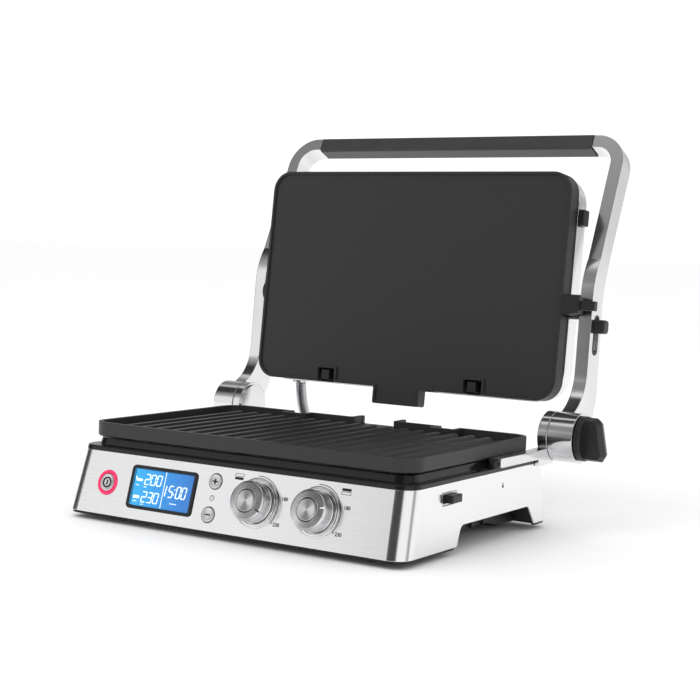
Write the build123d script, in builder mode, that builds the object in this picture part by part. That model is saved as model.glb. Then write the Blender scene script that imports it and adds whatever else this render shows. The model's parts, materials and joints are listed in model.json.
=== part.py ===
from build123d import *

import math
import os

os.makedirs("parts", exist_ok=True)

# Contact grill with a floating lid, standing open.
# Millimetres. +X is the grill's right, +Y the rear, +Z up.
# The origin is on the worktop, midway between the sides and under the middle of the cooking plates.

# ---------------------------------------------------------------- driving dimensions
PLATE_W = 293.0
PLATE_D = 184.5
PLATE_T = 11.0
PLATE_R = 17.0
PLATE_RIM = 3.6
SMOOTH_RIM = 2.2
LOWER_PLATE_Z = 62.0
CLOSED_GAP = 1.0
NOTCH_X = 72.5
NOTCH_W = 17.0
NOTCH_D = 12.0
SPOUT_W = 45.5
SPOUT_D = 14.5
RIB_PITCH = 15.0
RIB_COUNT = 17

SKIRT_LOW = 6.0
SKIRT_HIGH = 52.0
HALF_LOW, HALF_HIGH = 153.0, 150.2
FRONT_LOW, FRONT_HIGH = -111.3, -97.9
REAR_LOW, REAR_HIGH = 111.7, 105.5
FRONT_CORNER = 13.0
REAR_CORNER = 11.0
SKIRT_T = 1.2
PAN_INSET = 1.5
PAN_T = 2.5
PAN_BOTTOM = 4.0
FLOOR_LOW, FLOOR_HIGH = 10.0, 12.5
DECK_TOP = 55.5
SEAT_TOP = 60.5
BOWL_W, BOWL_D = 246.4, 150.4

HINGE_Y, HINGE_Z = 118.5, 71.0
OPEN_ANGLE = 96.3
HUB_R = 19.6
HUB_SPLIT = 154.1
HUB_END = 175.0
HUB_START = 146.4
PIN_R = 6.0
RUN_GAP = 0.05

ARM_IN, ARM_OUT = 156.2, 167.0
GRIP_HALF = 136.5
LEAN = 24.3
LEAN_Y, LEAN_Z = 158.0, 211.0
CROSSBAR_TOP = 112.5
CROSSBAR_H = 11.0

PIVOT_Y, PIVOT_Z = 14.4, 93.2
PIVOT_R = 3.5
FRAME_Z = LOWER_PLATE_Z + 2 * PLATE_T + CLOSED_GAP + 0.3
COVER_Z = FRAME_Z + 3.2
COVER_TOP = 109.0
COVER_W, COVER_D = 294.0, 186.5

POWER_AT = (-115.3, 24.5)
DISPLAY_AT = (-61.5, 24.5)
PLUS_AT = (-13.5, 36.6)
MINUS_AT = (-14.5, 11.9)
DIAL_X = (25.6, 78.2)
DIAL_V = 25.2
DIAL_R = 14.6
DIAL_FACE = 13.2
SEAR_R = 8.1

# ---------------------------------------------------------------- planes and shared shapes
COS_OPEN = math.cos(math.radians(OPEN_ANGLE))
SIN_OPEN = math.sin(math.radians(OPEN_ANGLE))


def opened(y, z):
    """Where a point of the closed lid stands when the lid is open."""
    dy, dz = y - HINGE_Y, z - HINGE_Z
    return (HINGE_Y + dy * COS_OPEN + dz * SIN_OPEN, HINGE_Z - dy * SIN_OPEN + dz * COS_OPEN)


PANEL_LEAN = math.atan2(FRONT_HIGH - FRONT_LOW, SKIRT_HIGH - SKIRT_LOW)
PANEL = Plane(
    origin=(0, FRONT_LOW, SKIRT_LOW),
    x_dir=(1, 0, 0),
    z_dir=(0, -math.cos(PANEL_LEAN), math.sin(PANEL_LEAN)),
)
# The lid is drawn as it lies closed; this plane carries it to its open place.
LID = Plane(origin=(0, *opened(0, 0)), x_dir=(1, 0, 0), z_dir=(0, SIN_OPEN, COS_OPEN))
LEAN_PLANE = Plane(
    origin=(0, LEAN_Y, LEAN_Z),
    x_dir=(1, 0, 0),
    z_dir=(0, -math.cos(math.radians(LEAN)), math.sin(math.radians(LEAN))),
)


def lid_side(x):
    """A plane across the lid at x, with the lid's own y and z as its axes."""
    return Plane(origin=LID.from_local_coords((x, 0, 0)), x_dir=LID.y_dir, z_dir=LID.x_dir)


def save(piece, name):
    piece.part.label = name
    export_step(piece.part, f"parts/{name}.step")


def block(low, high, mode=Mode.ADD):
    """A box given by its two corners."""
    size = [b - a for a, b in zip(low, high)]
    middle = [(a + b) / 2 for a, b in zip(low, high)]
    with Locations(tuple(middle)):
        Box(*size, mode=mode)


def slab(plane, width, depth, height, radius, mode=Mode.ADD):
    """A rounded rectangle centred on a plane, raised by height."""
    with BuildSketch(plane) as face:
        RectangleRounded(width, depth, radius)
    extrude(face.sketch, amount=height, mode=mode)


def rod(plane, points, radius, length, mode=Mode.ADD):
    """Round rods standing on a plane at each of the points."""
    with BuildSketch(plane) as face:
        with Locations(*points):
            Circle(radius)
    extrude(face.sketch, amount=length, mode=mode)


def tile(plane, centre, width, height, length, mode=Mode.ADD, radius=0.0):
    """A rectangular bar standing on a plane."""
    with BuildSketch(plane) as face:
        with Locations(centre):
            if radius:
                RectangleRounded(width, height, radius)
            else:
                Rectangle(width, height)
    extrude(face.sketch, amount=length, mode=mode)


def base_outline(level, inset):
    """The plan of the base at a height: front and sides lean inwards as they rise."""
    share = (level - SKIRT_LOW) / (SKIRT_HIGH - SKIRT_LOW)
    half = HALF_LOW + share * (HALF_HIGH - HALF_LOW) - inset
    front = FRONT_LOW + share * (FRONT_HIGH - FRONT_LOW) + inset
    rear = REAR_LOW + share * (REAR_HIGH - REAR_LOW) - inset
    with BuildSketch(Plane.XY.offset(level)) as plan:
        with Locations((0, (front + rear) / 2)):
            Rectangle(2 * half, rear - front)
        fillet(vertices().group_by(Axis.Y)[0], radius=FRONT_CORNER - inset)
        fillet(vertices().group_by(Axis.Y)[-1], radius=REAR_CORNER - inset)
    return plan.sketch


def base_solid(low, high, inset, mode=Mode.ADD):
    loft([base_outline(low, inset), base_outline(high, inset)], ruled=True, mode=mode)


def recess_profile(x, grow, floor):
    """The opening of a hand recess, seen from the side."""
    top = 20.4 + grow
    with BuildSketch(Plane.YZ.offset(x)) as profile:
        with BuildLine():
            Polyline(
                (-40.5 - grow, floor),
                (-30.5 - grow, top),
                (75.5 + grow, top),
                (89.0 + grow, floor),
                close=True,
            )
        make_face()
        fillet(vertices().group_by(Axis.Y)[-1], radius=7)
    return profile.sketch


def recess_wall(x):
    """The inner wall of a hand recess from the side: straight in front, dipping low behind."""
    with BuildSketch(Plane.YZ.offset(x)) as wall:
        with BuildLine():
            front = Line((-46, 24.5), (-46, FLOOR_LOW))
            straight = Line(front @ 1, (36, FLOOR_LOW + 0.6))
            dip = Spline(straight @ 1, (66, 5.6), tangents=[(1, 0.01), (1, 0)])
            rear = Line(dip @ 1, (95, 5.0))
            Polyline(rear @ 1, (95, 24.5), (-46, 24.5))
        make_face()
    return wall.sketch


def plate_outline(plane):
    """The plan of both plates: two clip notches and a spout on the hinge edge."""
    with BuildSketch(plane) as plan:
        RectangleRounded(PLATE_W, PLATE_D, PLATE_R)
        with Locations((0, PLATE_D / 2)):
            Rectangle(SPOUT_W, 2 * SPOUT_D)
        fillet(plan.vertices().group_by(Axis.Y)[-1], radius=2)
        with Locations((-NOTCH_X, PLATE_D / 2), (NOTCH_X, PLATE_D / 2)):
            Rectangle(NOTCH_W, 2 * NOTCH_D, mode=Mode.SUBTRACT)
    return plan


def heater_loop(plane):
    """A bent tubular element, its two tails leaving towards the hinge edge."""
    reach, tail = 104.0, 14.0
    with BuildPart() as element:
        with BuildLine(plane) as route:
            FilletPolyline(
                (-tail, 84),
                (-tail, 42),
                (-reach, 42),
                (-reach, -52),
                (reach, -52),
                (reach, 42),
                (tail, 42),
                (tail, 84),
                radius=12,
            )
        with BuildSketch(Plane(origin=route.line @ 0, z_dir=route.line % 0)):
            Circle(3.2)
        sweep()
    return element


# ---------------------------------------------------------------- base shell
with BuildPart() as steel_skirt:
    base_solid(SKIRT_LOW, SKIRT_HIGH, 0)
    base_solid(SKIRT_LOW - 1, SKIRT_HIGH + 1, SKIRT_T, mode=Mode.SUBTRACT)
    block((-133.6, 95, 0), (133.6, 120, 60), mode=Mode.SUBTRACT)
    extrude(recess_profile(-160, 0, 0), amount=320, mode=Mode.SUBTRACT)
    for x in (-160, 124):
        block((x, 86, 50.2), (x + 36, 120, 60), mode=Mode.SUBTRACT)
    block((142, -56.8, 36.9), (158, -35.7, 46.1), mode=Mode.SUBTRACT)
    rod(PANEL.offset(-4), [POWER_AT], 9.6, 8, mode=Mode.SUBTRACT)
    rod(PANEL.offset(-4), [PLUS_AT, MINUS_AT], 5.9, 8, mode=Mode.SUBTRACT)
    rod(PANEL.offset(-4), [(x, DIAL_V) for x in DIAL_X], 6.0, 8, mode=Mode.SUBTRACT)
    tile(PANEL.offset(-4), DISPLAY_AT, 63.0, 32.8, 8, mode=Mode.SUBTRACT, radius=3.2)
save(steel_skirt, "steel_skirt")

FEET = [(-119, -88), (119, -88), (-112, 88), (112, 88)]
with BuildPart() as base_pan:
    base_solid(PAN_BOTTOM, 46, PAN_INSET)
    base_solid(FLOOR_HIGH, 47, PAN_INSET + PAN_T, mode=Mode.SUBTRACT)
    base_solid(PAN_BOTTOM - 1, FLOOR_LOW, PAN_INSET + PAN_T, mode=Mode.SUBTRACT)
    block((-133.8, 90, 20.2), (133.8, 120, 50), mode=Mode.SUBTRACT)
    tile(PANEL.offset(-8), (-11, 27.5), 242, 41, 8, mode=Mode.SUBTRACT)
    block((-128, -120, FLOOR_LOW - 1), (128, -84, FLOOR_HIGH + 1), mode=Mode.SUBTRACT)
    block((-129, -106.5, 5), (129, -82, 7.4))
    block((-129, -84, 5), (129, -81.5, FLOOR_HIGH))
    for side in (-1, 1):
        block((side * 128.5 - 1, -106.5, 5), (side * 128.5 + 1, -82, FLOOR_HIGH))
    extrude(recess_wall(128.5), amount=20.1)
    extrude(recess_wall(-148.6), amount=20.1)
    extrude(recess_profile(134, 0.6, 2), amount=27, mode=Mode.SUBTRACT)
    extrude(recess_profile(-161, 0.6, 2), amount=27, mode=Mode.SUBTRACT)
    for side in (-1, 1):
        for y in (-22, -4, 14, 32):
            block((side * 135.2 - 1.4, y, FLOOR_LOW + 0.4), (side * 135.2 + 1.4, y + 1.6, 21.2))
        block((side * 59.5 - 3.5, 45, FLOOR_HIGH), (side * 59.5 + 3.5, 103, 21.6))
        with Locations((side * 132, 95.5, 31.3)):
            Cylinder(6, 37.7)
    with Locations(*[(x, y, 6) for x, y in FEET]):
        Cone(bottom_radius=9.5, top_radius=13, height=8)
    with Locations(*[(x, y, 5) for x, y in FEET]):
        Cylinder(3.6, 6.2, mode=Mode.SUBTRACT)
    block((143, -58.6, 35.2), (153, -33.9, 47.8), mode=Mode.SUBTRACT)
save(base_pan, "base_pan")

with BuildPart() as feet:
    with Locations(*[(x, y, 1) for x, y in FEET]):
        Cylinder(8.5, 2)
    fillet(feet.edges().group_by(Axis.Z)[0], radius=0.8)
    with Locations(*[(x, y, 4.5) for x, y in FEET]):
        Cylinder(3.5, 6)
save(feet, "feet")

with BuildPart() as top_deck:
    base_solid(52.3, DECK_TOP, 0)
    fillet(top_deck.edges().group_by(Axis.Z)[-1], radius=1.2)
    base_solid(47.5, 53, 1.7)
    base_solid(45, 52.9, 4.4, mode=Mode.SUBTRACT)
    with BuildSketch(Plane.XY.offset(DECK_TOP - 0.5)):
        RectangleRounded(289, 180, 13)
    with BuildSketch(Plane.XY.offset(SEAT_TOP)):
        RectangleRounded(285, 176, 11)
    loft(ruled=True)
    slab(Plane.XY.offset(40), BOWL_W, BOWL_D, 30, 10, mode=Mode.SUBTRACT)
    block((-30, 96, 40), (30, 120, 70), mode=Mode.SUBTRACT)
    for x in (-160, 124):
        block((x, 86, 40), (x + 36, 120, 70), mode=Mode.SUBTRACT)
save(top_deck, "top_deck")

with BuildPart() as rear_panel:
    base_solid(20.5, 46.3, PAN_INSET)
    base_solid(19, 47, PAN_INSET + PAN_T, mode=Mode.SUBTRACT)
    with Locations((0, 105, 33)):
        Box(266.8, 30, 40, mode=Mode.INTERSECT)
    block((-63.5, 90, 15), (63.5, 120, 41.5), mode=Mode.SUBTRACT)
    rod(Plane.XZ.offset(-120), [(-92, 39.5)], 7.6, 30, mode=Mode.SUBTRACT)
    rod(Plane.XZ.offset(-120), [(100, 30)], 6.6, 30, mode=Mode.SUBTRACT)
    for x in (70, 78, 86):
        for z in (37, 41):
            block((x, 90, z), (x + 5.5, 120, z + 1.6), mode=Mode.SUBTRACT)
save(rear_panel, "rear_panel")

# ---------------------------------------------------------------- plates
with BuildPart() as lower_plate:
    plan = plate_outline(Plane.XY.offset(LOWER_PLATE_Z))
    extrude(plan.sketch, amount=PLATE_T)
    fillet(lower_plate.faces().sort_by(Axis.Z)[0].outer_wire().edges(), radius=1.5)
    channel_z = LOWER_PLATE_Z + 4.5
    with BuildSketch(Plane.XY.offset(channel_z)):
        add(plan.sketch_local)
        offset(amount=-PLATE_RIM, mode=Mode.REPLACE)
    extrude(amount=PLATE_T, mode=Mode.SUBTRACT)
    block((-SPOUT_W / 2 + 4, 85, channel_z), (SPOUT_W / 2 - 4, 120, 80), mode=Mode.SUBTRACT)
    rib_y0, rib_y1 = -PLATE_D / 2 + 12, PLATE_D / 2 - 20
    for n in range(RIB_COUNT):
        x = (n - (RIB_COUNT - 1) / 2) * RIB_PITCH
        with BuildSketch(Plane.XY.offset(channel_z - 0.5)):
            with Locations((x, (rib_y0 + rib_y1) / 2)):
                SlotOverall(rib_y1 - rib_y0, 8.5, rotation=90)
        with BuildSketch(Plane.XY.offset(channel_z + 4.6)):
            with Locations((x, (rib_y0 + rib_y1) / 2)):
                SlotOverall(rib_y1 - rib_y0 - 6, 4.4, rotation=90)
        loft(ruled=True)
save(lower_plate, "lower_plate")

UPPER_PLATE_Z = LOWER_PLATE_Z + PLATE_T + CLOSED_GAP
with BuildPart() as upper_plate:
    plan = plate_outline(LID.offset(UPPER_PLATE_Z))
    extrude(plan.sketch, amount=PLATE_T)
    with BuildSketch(LID.offset(UPPER_PLATE_Z)):
        add(plan.sketch_local)
        offset(amount=-SMOOTH_RIM, mode=Mode.REPLACE)
    extrude(amount=1.6, mode=Mode.SUBTRACT)
save(upper_plate, "upper_plate")

# ---------------------------------------------------------------- heating and inner parts
with BuildPart() as lower_reflector:
    slab(Plane.XY.offset(43), BOWL_W - 1.4, BOWL_D - 1.4, SEAT_TOP - 43, 9.5)
    slab(Plane.XY.offset(SEAT_TOP), BOWL_W + 6, BOWL_D + 6, 0.8, 12)
    slab(Plane.XY.offset(43.8), BOWL_W - 3, BOWL_D - 3, 30, 9, mode=Mode.SUBTRACT)
    rod(Plane.XZ.offset(-90), [(-14, 49), (14, 49)], 4.0, 30, mode=Mode.SUBTRACT)
    rod(Plane.XY.offset(40), [(0, 0)], 4.4, 10, mode=Mode.SUBTRACT)
save(lower_reflector, "lower_reflector")

lower_heater = heater_loop(Plane.XY.offset(49))
save(lower_heater, "lower_heater")

with BuildPart() as lower_probe:
    rod(Plane.XY.offset(41), [(0, 0)], 4.0, 20.4)
    fillet(lower_probe.edges().group_by(Axis.Z)[-1], radius=1)
save(lower_probe, "lower_probe")

with BuildPart() as lower_plate_clips:
    for x in (-NOTCH_X, NOTCH_X):
        block((x - 6, 81.5, SEAT_TOP), (x + 6, 87.5, 68.5))
    fillet(lower_plate_clips.edges().group_by(Axis.Z)[-1], radius=1)
save(lower_plate_clips, "lower_plate_clips")

with BuildPart() as power_board:
    block((-120, -20, FLOOR_HIGH + 4), (-72, 80, FLOOR_HIGH + 5.6))
    for x, y in [(-116, -16), (-76, -16), (-116, 76), (-76, 76)]:
        block((x - 2.5, y - 2.5, FLOOR_HIGH), (x + 2.5, y + 2.5, FLOOR_HIGH + 4))
    block((-112, 0, FLOOR_HIGH + 5.6), (-94, 26, FLOOR_HIGH + 21))
    block((-88, 34, FLOOR_HIGH + 5.6), (-76, 62, FLOOR_HIGH + 17))
save(power_board, "power_board")

# ---------------------------------------------------------------- front panel
BOARD_W = -16.0
BOARD_T = 1.6

with BuildPart() as control_board:
    tile(PANEL.offset(BOARD_W), (-15, 24.5), 222, 30, BOARD_T)
save(control_board, "control_board")

with BuildPart() as button_switches:
    for centre, top in [(POWER_AT, 4.0), (PLUS_AT, 4.0), (MINUS_AT, 4.0)]:
        tile(PANEL.offset(BOARD_W + BOARD_T), centre, 6, 6, top)
save(button_switches, "button_switches")

with BuildPart() as dial_encoders:
    for x in DIAL_X:
        tile(PANEL.offset(BOARD_W + BOARD_T), (x, DIAL_V), 14, 14, 9)
        rod(PANEL.offset(-12), [(x, DIAL_V)], 3.0 + RUN_GAP, 10, mode=Mode.SUBTRACT)
save(dial_encoders, "dial_encoders")

with BuildPart() as display_bezel:
    tile(PANEL.offset(-1.8), DISPLAY_AT, 62.5, 32.3, 2.7, radius=3)
    tile(PANEL.offset(-2), DISPLAY_AT, 57.2, 28.4, 4, mode=Mode.SUBTRACT, radius=1)
save(display_bezel, "display_bezel")

with BuildPart() as display_lens:
    tile(PANEL.offset(-0.6), DISPLAY_AT, 57.0, 28.2, 1.1, radius=1)
save(display_lens, "display_lens")

with BuildPart() as display_module:
    tile(PANEL.offset(-7), DISPLAY_AT, 56.0, 27.4, 6.2)
save(display_module, "display_module")

with BuildPart() as power_ring:
    rod(PANEL.offset(-2.7), [POWER_AT], 10.0, 1.2)
    rod(PANEL.offset(-2.7), [POWER_AT], 9.4, 3.5)
    rod(PANEL.offset(-3), [POWER_AT], 7.2, 6, mode=Mode.SUBTRACT)
save(power_ring, "power_ring")

with BuildPart() as power_button:
    rod(PANEL.offset(-2.4), [POWER_AT], 6.8, 3.4)
    fillet(power_button.edges().group_by(Axis.Y)[0], radius=0.5)
    rod(PANEL.offset(-8.9), [POWER_AT], 1.8, 6.6)
save(power_button, "power_button")

for name, centre in [("plus_button", PLUS_AT), ("minus_button", MINUS_AT)]:
    with BuildPart() as time_button:
        rod(PANEL.offset(-3), [centre], 5.5, 4.0)
        fillet(time_button.edges().group_by(Axis.Y)[0], radius=0.6)
        rod(PANEL.offset(-3), [centre], 6.6, 1.3)
        rod(PANEL.offset(-8.9), [centre], 1.8, 6.0)
    save(time_button, name)

with BuildPart() as dial_rings:
    for x in DIAL_X:
        rod(PANEL, [(x, DIAL_V)], 18.4, 1.6)
        rod(PANEL.offset(-1), [(x, DIAL_V)], 15.2, 6, mode=Mode.SUBTRACT)
save(dial_rings, "dial_rings")

for name, x in zip(("left_dial", "right_dial"), DIAL_X):
    with BuildPart() as dial:
        with BuildSketch(Plane(origin=PANEL.from_local_coords((x, DIAL_V, 0)), x_dir=PANEL.x_dir,
                               z_dir=-PANEL.y_dir)):
            with BuildLine():
                Polyline(
                    (0, -11.5),
                    (3, -11.5),
                    (3, 0.8),
                    (DIAL_R, 0.8),
                    (DIAL_R, DIAL_FACE - 1.6),
                    (DIAL_R - 1.3, DIAL_FACE - 0.6),
                    (SEAR_R + 0.4, DIAL_FACE),
                    (SEAR_R + 0.4, 5),
                    (0, 5),
                    close=True,
                )
            make_face()
        revolve(axis=Axis(PANEL.from_local_coords((x, DIAL_V, 0)), PANEL.z_dir))
    save(dial, name)

for name, x in zip(("left_sear", "right_sear"), DIAL_X):
    with BuildPart() as sear:
        rod(PANEL.offset(7.2), [(x, DIAL_V)], SEAR_R, DIAL_FACE - 6.6)
        fillet(sear.edges().group_by(Axis.Y)[0], radius=0.8)
    save(sear, name)

with BuildPart() as release_guide:
    block((145.7, -56.5, 37.2), (150.5, -36.0, 45.8))
    block((148.1, -55.7, 38.2), (153, -51.0, 44.8), mode=Mode.SUBTRACT)
    block((144, -51.6, 38.2), (153, -37.3, 44.8), mode=Mode.SUBTRACT)
save(release_guide, "release_guide")

with BuildPart() as lower_release:
    block((143.8, -51.2, 38.6), (156.4, -37.7, 44.4))
    fillet(lower_release.edges().group_by(Axis.X)[-1], radius=0.8)
save(lower_release, "lower_release")

# ---------------------------------------------------------------- drip tray and rear glands
with BuildPart() as drip_tray:
    block((-60, 45, 22), (60, 124, 40))
    block((-62.5, 122, 21), (62.5, 124.5, 43))
    fillet(drip_tray.edges().filter_by(Axis.Z).sort_by(Axis.Y)[:2], radius=6)
    block((-58.2, 46.8, 23.8), (58.2, 121.6, 50), mode=Mode.SUBTRACT)
save(drip_tray, "drip_tray")

with BuildPart() as cord_gland:
    rod(Plane.XZ.offset(-101), [(100, 30)], 9, -1.5)
    rod(Plane.XZ.offset(-101), [(100, 30)], 6.5, -18)
    rod(Plane.XZ.offset(-100), [(100, 30)], 3.6, -30, mode=Mode.SUBTRACT)
save(cord_gland, "cord_gland")

CONDUIT_R = 5.0
LID_EXIT_X = -114.0
lid_exit = opened(COVER_D / 2 + 0.4, 97)
CONDUIT_ROUTE = [
    (LID_EXIT_X, *lid_exit),
    (LID_EXIT_X + 0.5, lid_exit[0] + 0.3, 77),
    (-104, 144, 57),
    (-92, 131, 39.5),
    (-92, 107.5, 39.5),
]
with BuildPart() as wire_conduit:
    with BuildLine() as conduit_path:
        FilletPolyline(*CONDUIT_ROUTE, radius=14)
    with BuildSketch(Plane(origin=conduit_path.line @ 0, z_dir=conduit_path.line % 0)):
        Circle(CONDUIT_R)
    sweep()
print("wire conduit length", round(conduit_path.wires()[0].length, 1))
save(wire_conduit, "wire_conduit")

with BuildPart() as conduit_gland:
    rod(Plane.XZ.offset(-99), [(-92, 39.5)], 9, -1.5)
    rod(Plane.XZ.offset(-99), [(-92, 39.5)], 7.5, -14.5)
    rod(Plane.XZ.offset(-98), [(-92, 39.5)], CONDUIT_R + 0.3, -30, mode=Mode.SUBTRACT)
save(conduit_gland, "conduit_gland")

# ---------------------------------------------------------------- hinge brackets
with BuildPart() as right_bracket:
    rod(Plane.YZ.offset(HUB_START), [(HINGE_Y, HINGE_Z)], HUB_R, HUB_SPLIT - 0.2 - HUB_START)
    fillet(right_bracket.edges().sort_by(Axis.X)[-1], radius=0.5)
    block((147.2, 20.6, 56), (155.8, 97, 63))
    chamfer(right_bracket.edges().group_by(Axis.Y)[0], length=1.6)
    block((HUB_START, 90, 56), (HUB_SPLIT - 0.2, 106, 63))
    block((126, 87, 50.4), (HUB_SPLIT - 0.2, 100.5, 57))
    block((HUB_START, 90, 50.4), (HUB_SPLIT - 0.2, 112, 57))
    rod(Plane.XY.offset(45), [(132, 95.5)], 2.2, 20, mode=Mode.SUBTRACT)
    rod(Plane.YZ.offset(140), [(HINGE_Y, HINGE_Z)], PIN_R + 0.02, 30, mode=Mode.SUBTRACT)
save(right_bracket, "right_bracket")

with BuildPart() as left_bracket:
    mirror(right_bracket.part, about=Plane.YZ)
save(left_bracket, "left_bracket")

with BuildPart() as bracket_tips:
    block((147.4, 14, 56.3), (155.4, 20.5, 62.7))
    chamfer(bracket_tips.edges().group_by(Axis.Y)[0], length=2.4)
    block((140, 16.6, 57.8), (160, 18.9, 61.0), mode=Mode.SUBTRACT)
    mirror(about=Plane.YZ)
save(bracket_tips, "bracket_tips")

with BuildPart() as bracket_screws:
    rod(Plane.XY.offset(57.05), [(132, 95.5)], 4, 2)
    rod(Plane.XY.offset(50.5), [(132, 95.5)], 2, 8)
    mirror(about=Plane.YZ)
save(bracket_screws, "bracket_screws")

with BuildPart() as hub_caps:
    rod(Plane.YZ.offset(HUB_START - 1.5), [(HINGE_Y, HINGE_Z)], 17.5, 1.5)
    mirror(about=Plane.YZ)
save(hub_caps, "hub_caps")

with BuildPart() as hinge_pins:
    rod(Plane.YZ.offset(HUB_START + 0.4), [(HINGE_Y, HINGE_Z)], PIN_R, 25.2)
    mirror(about=Plane.YZ)
save(hinge_pins, "hinge_pins")

# ---------------------------------------------------------------- arms and handle
with BuildPart() as right_arm:
    with BuildSketch(Plane.YZ.offset(GRIP_HALF)):
        with BuildLine():
            foot = ThreePointArc((119.0, 90.4), (133.5, 101.5), (141.3, 122.0))
            shin = Line(foot @ 1, (146.5, 181.0))
            knee = TangentArc(shin @ 1, (LEAN_Y, LEAN_Z), tangent=shin % 1)
            front = Line(knee @ 1, (LEAN_Y + 130 * math.tan(math.radians(LEAN)), LEAN_Z + 130))
            top = Line(front @ 1, front @ 1 + (20, 0))
            back = Line(top @ 1, (174.6, 206.0))
            heel = TangentArc(back @ 1, (165.2, 176.0), tangent=back % 1)
            calf = Line(heel @ 1, (161.4, 106.0))
            ThreePointArc(calf @ 1, (154.5, 84.0), (137.5, 68.0))
            Line((137.5, 68.0), (119.0, 90.4))
        make_face()
    extrude(amount=ARM_OUT - GRIP_HALF)
    with BuildSketch(LEAN_PLANE.offset(-150)):
        with BuildLine():
            Polyline(
                (ARM_OUT, -160),
                (ARM_OUT, CROSSBAR_TOP),
                (GRIP_HALF, CROSSBAR_TOP),
                (GRIP_HALF, CROSSBAR_TOP - CROSSBAR_H),
                (ARM_IN, CROSSBAR_TOP - CROSSBAR_H),
                (ARM_IN, -160),
                close=True,
            )
        make_face()
        fillet(vertices().sort_by_distance((ARM_OUT, CROSSBAR_TOP))[0], radius=27)
        fillet(vertices().sort_by_distance((ARM_IN, CROSSBAR_TOP - CROSSBAR_H))[0], radius=15)
    extrude(amount=300, mode=Mode.INTERSECT)
    rod(Plane.YZ.offset(HUB_SPLIT + 0.2), [(HINGE_Y, HINGE_Z)], HUB_R, HUB_END - HUB_SPLIT - 0.2)
    rod(Plane.YZ.offset(HUB_SPLIT), [(HINGE_Y, HINGE_Z)], PIN_R + RUN_GAP, 18.5, mode=Mode.SUBTRACT)
    rod(Plane.YZ.offset(HUB_END - 2), [(HINGE_Y, HINGE_Z)], 8.0 + RUN_GAP, 4, mode=Mode.SUBTRACT)
    rod(Plane.YZ.offset(ARM_IN - 1), [opened(PIVOT_Y, PIVOT_Z)], PIVOT_R + RUN_GAP, 9.8, mode=Mode.SUBTRACT)
arm_blank = right_arm.part

SLOT_LEAN = 5.0
SLOT_PLANE = Plane(
    origin=(ARM_OUT - 4, 154.6, 150),
    x_dir=(0, math.cos(math.radians(SLOT_LEAN)), -math.sin(math.radians(SLOT_LEAN))),
    z_dir=(1, 0, 0),
)
with BuildPart() as left_arm:
    mirror(arm_blank, about=Plane.YZ)
save(left_arm, "left_arm")

with BuildPart() as slotted_arm:
    add(arm_blank)
    tile(SLOT_PLANE, (0, 0), 5.4, 28, 10, mode=Mode.SUBTRACT, radius=2.6)
save(slotted_arm, "right_arm")

with BuildPart() as lock_slider:
    tile(SLOT_PLANE.offset(0.3), (0, 4.5), 4.8, 17, 3.6, radius=2.3)
    tile(SLOT_PLANE.offset(4.3), (0, 7.0), 10.5, 11, 8.5, radius=3)
    fillet(lock_slider.edges().group_by(Axis.X)[-1], radius=2)
    tile(SLOT_PLANE.offset(3), (0, 7.0), 4.6, 8, 2)
save(lock_slider, "lock_slider")

CORE_V = CROSSBAR_TOP - CROSSBAR_H / 2
with BuildPart() as handle_core:
    with BuildSketch(LEAN_PLANE.offset(-4.5)):
        with Locations((0, CORE_V)):
            Rectangle(2 * GRIP_HALF - 0.4, 5)
    extrude(amount=-8)
save(handle_core, "handle_core")

GRIP_SIDE = Plane(
    origin=LEAN_PLANE.from_local_coords((-GRIP_HALF + 0.4, CORE_V, 0)),
    x_dir=-LEAN_PLANE.z_dir,
    z_dir=(1, 0, 0),
)
with BuildPart() as handle_grip:
    with BuildSketch(GRIP_SIDE):
        with BuildLine():
            Polyline(
                (-0.4, 6.0),
                (-0.4, -5.5),
                (1.8, -6.6),
                (15.5, -6.6),
                (17.0, -5),
                (17.0, 6.0),
                close=True,
            )
        make_face()
        fillet(vertices(), radius=1.1)
    extrude(amount=2 * GRIP_HALF - 0.8)
    with BuildSketch(LEAN_PLANE.offset(-4.3)):
        with Locations((0, CORE_V)):
            Rectangle(2 * GRIP_HALF + 10, 5.4)
    extrude(amount=-8.4, mode=Mode.SUBTRACT)
save(handle_grip, "handle_grip")

with BuildPart() as left_hub_plug:
    rod(Plane.YZ.offset(-HUB_END - 0.2), [(HINGE_Y, HINGE_Z)], 8.0, 1.9)
save(left_hub_plug, "left_hub_plug")

with BuildPart() as hub_knob:
    rod(Plane.YZ.offset(HUB_END - 1.8), [(HINGE_Y, HINGE_Z)], 8.0, 3)
    rod(Plane.YZ.offset(HUB_END + 0.5), [(HINGE_Y, HINGE_Z)], 17.6, 4.5)
    fillet(hub_knob.faces().sort_by(Axis.X)[-1].edges(), radius=1.2)
    with BuildSketch(Plane.XZ.offset(-HINGE_Y)):
        with BuildLine():
            Polyline(
                (HUB_END + 1, HINGE_Z - 17),
                (HUB_END + 1, HINGE_Z + 17),
                (187.6, HINGE_Z + 17),
                (191.4, HINGE_Z + 13),
                (196, HINGE_Z - 12),
                (193, HINGE_Z - 17),
                close=True,
            )
        make_face()
    extrude(amount=7.2, both=True, taper=16)
    with BuildSketch(Plane.YZ.offset(HUB_END + 0.5)):
        with Locations((HINGE_Y, HINGE_Z)):
            Circle(40)
            Circle(17.6, mode=Mode.SUBTRACT)
    extrude(amount=4.5, mode=Mode.SUBTRACT)
save(hub_knob, "hub_knob")

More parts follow.
